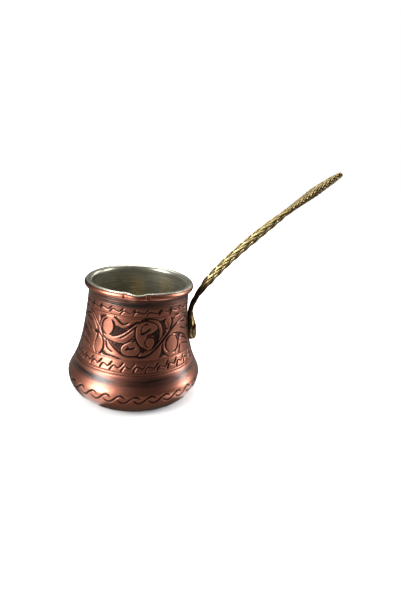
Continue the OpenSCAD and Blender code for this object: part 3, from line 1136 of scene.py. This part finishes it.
COPPER = (0.64, 0.24, 0.145, 1)
COPPER_DEEP = (0.25, 0.068, 0.042, 1)
COPPER_DARK = (0.018, 0.01, 0.009, 1)
TIN_LIGHT = (0.6, 0.59, 0.5, 1)
TIN_DARK = (0.34, 0.335, 0.25, 1)
TIN_DEEP = (0.14, 0.135, 0.1, 1)
TIN_GOLD_REFLECTION = (0.62, 0.49, 0.24, 1)
BRASS = (0.76, 0.62, 0.285, 1)
BRASS_BROWN = (0.24, 0.15, 0.065, 1)
BRASS_DARK = (0.02, 0.014, 0.006, 1)


def painted_bands_and_foot_marks(tree, place, smears):
    """Painted shade and painted dark reflections round the pot: at the very bottom, on the shoulder, lighter
    over the neck, and under the bead; with upright tool marks at the foot.
    """
    up_the_pot = share_of_height(tree, place, POT_H)
    # painted shade and dark reflections by height, made uneven by the smears
    painted_bands = ramp(tree, up_the_pot, [
        (0.0, 0.95), (0.05, 0.6), (0.12, 0.3), (0.19, 0.08), (0.24, 0.12), (0.29, 0.95), (0.32, 0.9),
        (0.375, 0.25), (0.5, 0.2), (0.75, 0.25), (0.84, 0.4), (0.9, 0.97), (0.942, 1.0), (0.952, 0.05)])
    uneven = plus(tree, times(tree, ramp(tree, smears, [(0.35, 0.0), (0.65, 1.0)]), 0.45), 0.65)
    foot = ramp(tree, up_the_pot, [(0.0, 1.0), (0.03, 0.8), (0.075, 0.0)])
    upright = noise(tree, stretched(tree, place, 650.0, 40.0), 2.0, 0.6)
    foot_marks = times(tree, foot, ramp(tree, upright, [(0.42, 0.0), (0.58, 1.0)]))
    return larger(tree, times(tree, painted_bands, uneven), foot_marks)


def antiqued_copper():
    """Copper darkened all over and polished again on the lathe, which leaves the cuts dark."""
    material, tree, shader, place = metal("antiqued_copper", 0.3)
    shader.inputs["Coat Roughness"].default_value = 0.3
    turned = use_group(tree, TURNED, Vector=place)
    painted_shade_and_marks = painted_bands_and_foot_marks(tree, place, turned["Smears"])
    cuts = mask_of(tree, "cut_dark")
    # the dark mask here holds the patina in the cuts and clouds, and the painted shade and dark reflections
    # round the pot
    dark_mask = use_group(tree, PATINA, Vector=place, Cuts=larger(tree, cuts, painted_shade_and_marks), Clouds=0.25,
                       Cloud_Size=110.0)
    glaze = plus(tree, times(tree, painted_shade_and_marks, 0.35), 0.6)
    uncut = math_node(tree, "SUBTRACT", 1.0, times(tree, cuts, 0.85))
    tree.links.new(times(tree, glaze, uncut), shader.inputs["Coat Weight"])
    worn = mix_node(tree, times(tree, turned["Lines"], 0.75), COPPER, COPPER_DEEP)
    # Painted shade: the base colour darkens towards the edges, where the surface turns away from the view.
    facing = tree.nodes.new("ShaderNodeLayerWeight")
    facing.inputs["Blend"].default_value = 0.35
    painted_edge_shade = ramp(tree, facing.outputs["Facing"], [(0.2, 0.0), (0.75, 0.85)])
    colour = mix_node(tree, larger(tree, dark_mask["Mask"], painted_edge_shade), worn, COPPER_DARK)
    tree.links.new(colour, shader.inputs["Base Color"])
    rough = mix_node(tree, dark_mask["Mask"], 0.26, 0.42, "FLOAT")
    brushed = times(tree, turned["Lines"], 0.12)
    tree.links.new(plus(tree, rough, brushed), shader.inputs["Roughness"])
    pits = use_group(tree, PITTED, Vector=place, Pits=1900.0)
    punched = times(tree, pits["Height"], mask_of(tree, "punched"))
    relief = plus(tree, times(tree, turned["Lines"], 0.35), times(tree, punched, 2.5))
    bump(tree, shader, relief, 0.06)
    return material


def wiped_tin():
    """Tin wiped on by hand: brushed round and matt, with painted gold reflections in upright streaks below
    the rim and a painted shadow line just under the rim.
    """
    material, tree, shader, place = metal("wiped_tin", 0.34, 0.87)
    turned = use_group(tree, TURNED, Vector=place, Fineness=1500.0)
    dark_mask = use_group(tree, PATINA, Vector=place, Cuts=0.0, Clouds=0.75, Cloud_Size=95.0)
    up_the_pot = share_of_height(tree, place, POT_H)
    # Darker inside the pot than on top of the rim, with a painted shadow line just under the rim.
    depth = ramp(tree, up_the_pot, [(0.0, 0.8), (0.75, 0.7), (0.94, 0.7), (0.955, 1.0), (0.965, 1.0),
                                    (0.98, 0.6), (1.0, 0.5)])
    dull_and_painted_shadow = larger(tree, times(tree, dark_mask["Mask"], 0.6), depth)
    # Painted reflection: gold streaks that run up and down the tin below the rim.
    streaks = noise(tree, stretched(tree, place, 105.0, 26.0), 2.0, 0.5)
    painted_gold_reflections = ramp(tree, streaks, [(0.42, 0.0), (0.6, 1.0)])
    below_rim = ramp(tree, up_the_pot, [(0.9, 1.0), (0.95, 0.0)])
    dark_tin_with_reflections = mix_node(tree, times(tree, painted_gold_reflections, below_rim), TIN_DARK, TIN_GOLD_REFLECTION)
    brushed = ramp(tree, turned["Lines"], [(0.4, 0.0), (0.6, 0.55)])
    colour = mix_node(tree, brushed, mix_node(tree, dull_and_painted_shadow, TIN_LIGHT, dark_tin_with_reflections), TIN_DEEP)
    tree.links.new(colour, shader.inputs["Base Color"])
    rough = plus(tree, times(tree, turned["Lines"], 0.22), 0.2)
    tree.links.new(rough, shader.inputs["Roughness"])
    bump(tree, shader, turned["Lines"], 0.04)
    return material


def cast_brass():
    """Brass that is darkest at the neck, where it is brown and carries painted shade, bright along the
    middle of the bar, and brown at its end; painted shade also lies under the bar and behind the pad.
    """
    material, tree, shader, place = metal("cast_brass", 0.32)
    browned = ramp(tree, share_of_height(tree, place, handle_high.z), [
        (0.0, 0.7), (0.33, 0.7), (0.37, 1.0), (0.5, 1.0), (0.54, 0.1), (0.74, 0.15), (0.84, 0.6),
        (1.0, 0.65)])
    # the dark mask here holds the patina in the hollows and clouds, and the painted shade under the bar, on
    # the neck and behind the pad
    dark_mask = use_group(tree, PATINA, Vector=place, Cuts=mask_of(tree, "seam_and_shade"), Clouds=0.55, Cloud_Size=420.0)
    colour = mix_node(tree, dark_mask["Mask"], mix_node(tree, browned, BRASS, BRASS_BROWN), BRASS_DARK)
    tree.links.new(colour, shader.inputs["Base Color"])
    tree.links.new(mix_node(tree, dark_mask["Mask"], 0.28, 0.55, "FLOAT"), shader.inputs["Roughness"])
    pits = use_group(tree, PITTED, Vector=place, Pits=2600.0)
    bump(tree, shader, pits["Height"], 0.05)
    return material


def hammered_rivet():
    """Dull copper, dark nearly all over."""
    material, tree, shader, place = metal("hammered_rivet", 0.38)
    dark_mask = use_group(tree, PATINA, Vector=place, Cuts=0.35, Clouds=0.8, Cloud_Size=700.0)
    colour = mix_node(tree, dark_mask["Mask"], COPPER_DEEP, COPPER_DARK)
    tree.links.new(colour, shader.inputs["Base Color"])
    tree.links.new(mix_node(tree, dark_mask["Mask"], 0.3, 0.55, "FLOAT"), shader.inputs["Roughness"])
    pits = use_group(tree, PITTED, Vector=place, Pits=2200.0)
    bump(tree, shader, pits["Height"], 0.05)
    return material


# ---------------------------------------------------------------- studio

CAMERA_AT = (0.8, -238.6, 136.7)
CAMERA_TURN = (72.42, -5.27, -7.34)
CAMERA_LENS = 24.18
# from here on, lengths are in metres
FLOOR_HALF = 40.0
FLOOR_GAP = 0.00005
CARD_LIFT = 0.0005
POT_MIDDLE = (0, 0, 0.05)


def make_camera():
    """A close, wide view from in front of the lip, a little above the rim."""
    data = bpy.data.cameras.new("camera")
    data.sensor_fit = "VERTICAL"
    data.sensor_height = 36
    data.lens = CAMERA_LENS
    data.clip_start = 0.01
    camera = link_object("camera", data)
    camera.location = Vector(CAMERA_AT) * MM
    camera.rotation_euler = [math.radians(a) for a in CAMERA_TURN]
    bpy.context.scene.camera = camera


def softbox(name, at, size, power, target=POT_MIDDLE):
    """A white rectangular light that shows in the metal but not to the camera."""
    data = bpy.data.lights.new(name, "AREA")
    data.shape = "RECTANGLE"
    data.size, data.size_y = size
    data.energy = power
    lamp = link_object(name, data)
    lamp.location = at
    lamp.rotation_euler = (Vector(target) - Vector(at)).to_track_quat("-Z", "Y").to_euler()
    lamp.visible_camera = False


def bright_card(name, x, y, side, power):
    """A small card on the table that faces up and lights the foot of the pot."""
    softbox(name, (x, y, CARD_LIFT), (side, side), power, target=(x, y, 1))


def ray_is(tree, label):
    return tree.nodes.new("ShaderNodeLightPath").outputs[label]


def make_floor():
    """A plain pale floor that looks darker in the metal than it is, as a matt table does."""
    bm = bmesh.new()
    bmesh.ops.create_grid(bm, x_segments=2, y_segments=2, size=FLOOR_HALF)
    bmesh.ops.translate(bm, verts=bm.verts, vec=(0, 0, -FLOOR_GAP))
    mesh = finish_mesh("floor", bm)
    floor = link_object("floor", mesh)
    material = bpy.data.materials.new("pale_floor")
    material.use_nodes = True
    tree = material.node_tree
    shader = tree.nodes["Principled BSDF"]
    shader.inputs["Roughness"].default_value = 0.8
    shade = mix_node(tree, ray_is(tree, "Is Glossy Ray"), (0.9, 0.9, 0.9, 1), (0.1, 0.08, 0.066, 1))
    tree.links.new(shade, shader.inputs["Base Color"])
    mesh.materials.append(material)


def make_world():
    """White to the camera, dim to everything that reflects it."""
    world = bpy.data.worlds.new("studio")
    bpy.context.scene.world = world
    world.use_nodes = True
    tree = world.node_tree
    background = tree.nodes["Background"]
    shade = mix_node(tree, ray_is(tree, "Is Glossy Ray"), (1.3, 1.3, 1.3, 1), (0.035, 0.032, 0.032, 1))
    shade = mix_node(tree, ray_is(tree, "Is Camera Ray"), shade, (1, 1, 1, 1))
    tree.links.new(shade, background.inputs["Color"])


def make_lights():
    softbox("left_softbox", (-0.7, -0.455, 0.33), (0.4, 0.7), 13)
    softbox("right_softbox", (0.85, 0.03, 0.3), (0.25, 0.7), 6)
    softbox("top_softbox", (-0.1, 0.35, 0.9), (0.7, 0.5), 7)
    softbox("back_softbox", (0.7, 0.65, 0.4), (0.4, 0.5), 2.5)
    bright_card("left_card", -0.061, -0.062, 0.08, 0.026)
    bright_card("right_card", 0.056, -0.03, 0.045, 0.0095)


bpy.context.scene.view_settings.view_transform = "Standard"
make_camera()
make_pot(antiqued_copper())
make_tin(wiped_tin())
make_handle(cast_brass())
rivet_metal = hammered_rivet()
make_rivet("lip_side_rivet", "rivet_lip_side", -1, 3, rivet_metal)
make_rivet("far_side_rivet", "rivet_far_side", 1, 4, rivet_metal)
make_floor()
make_world()
make_lights()
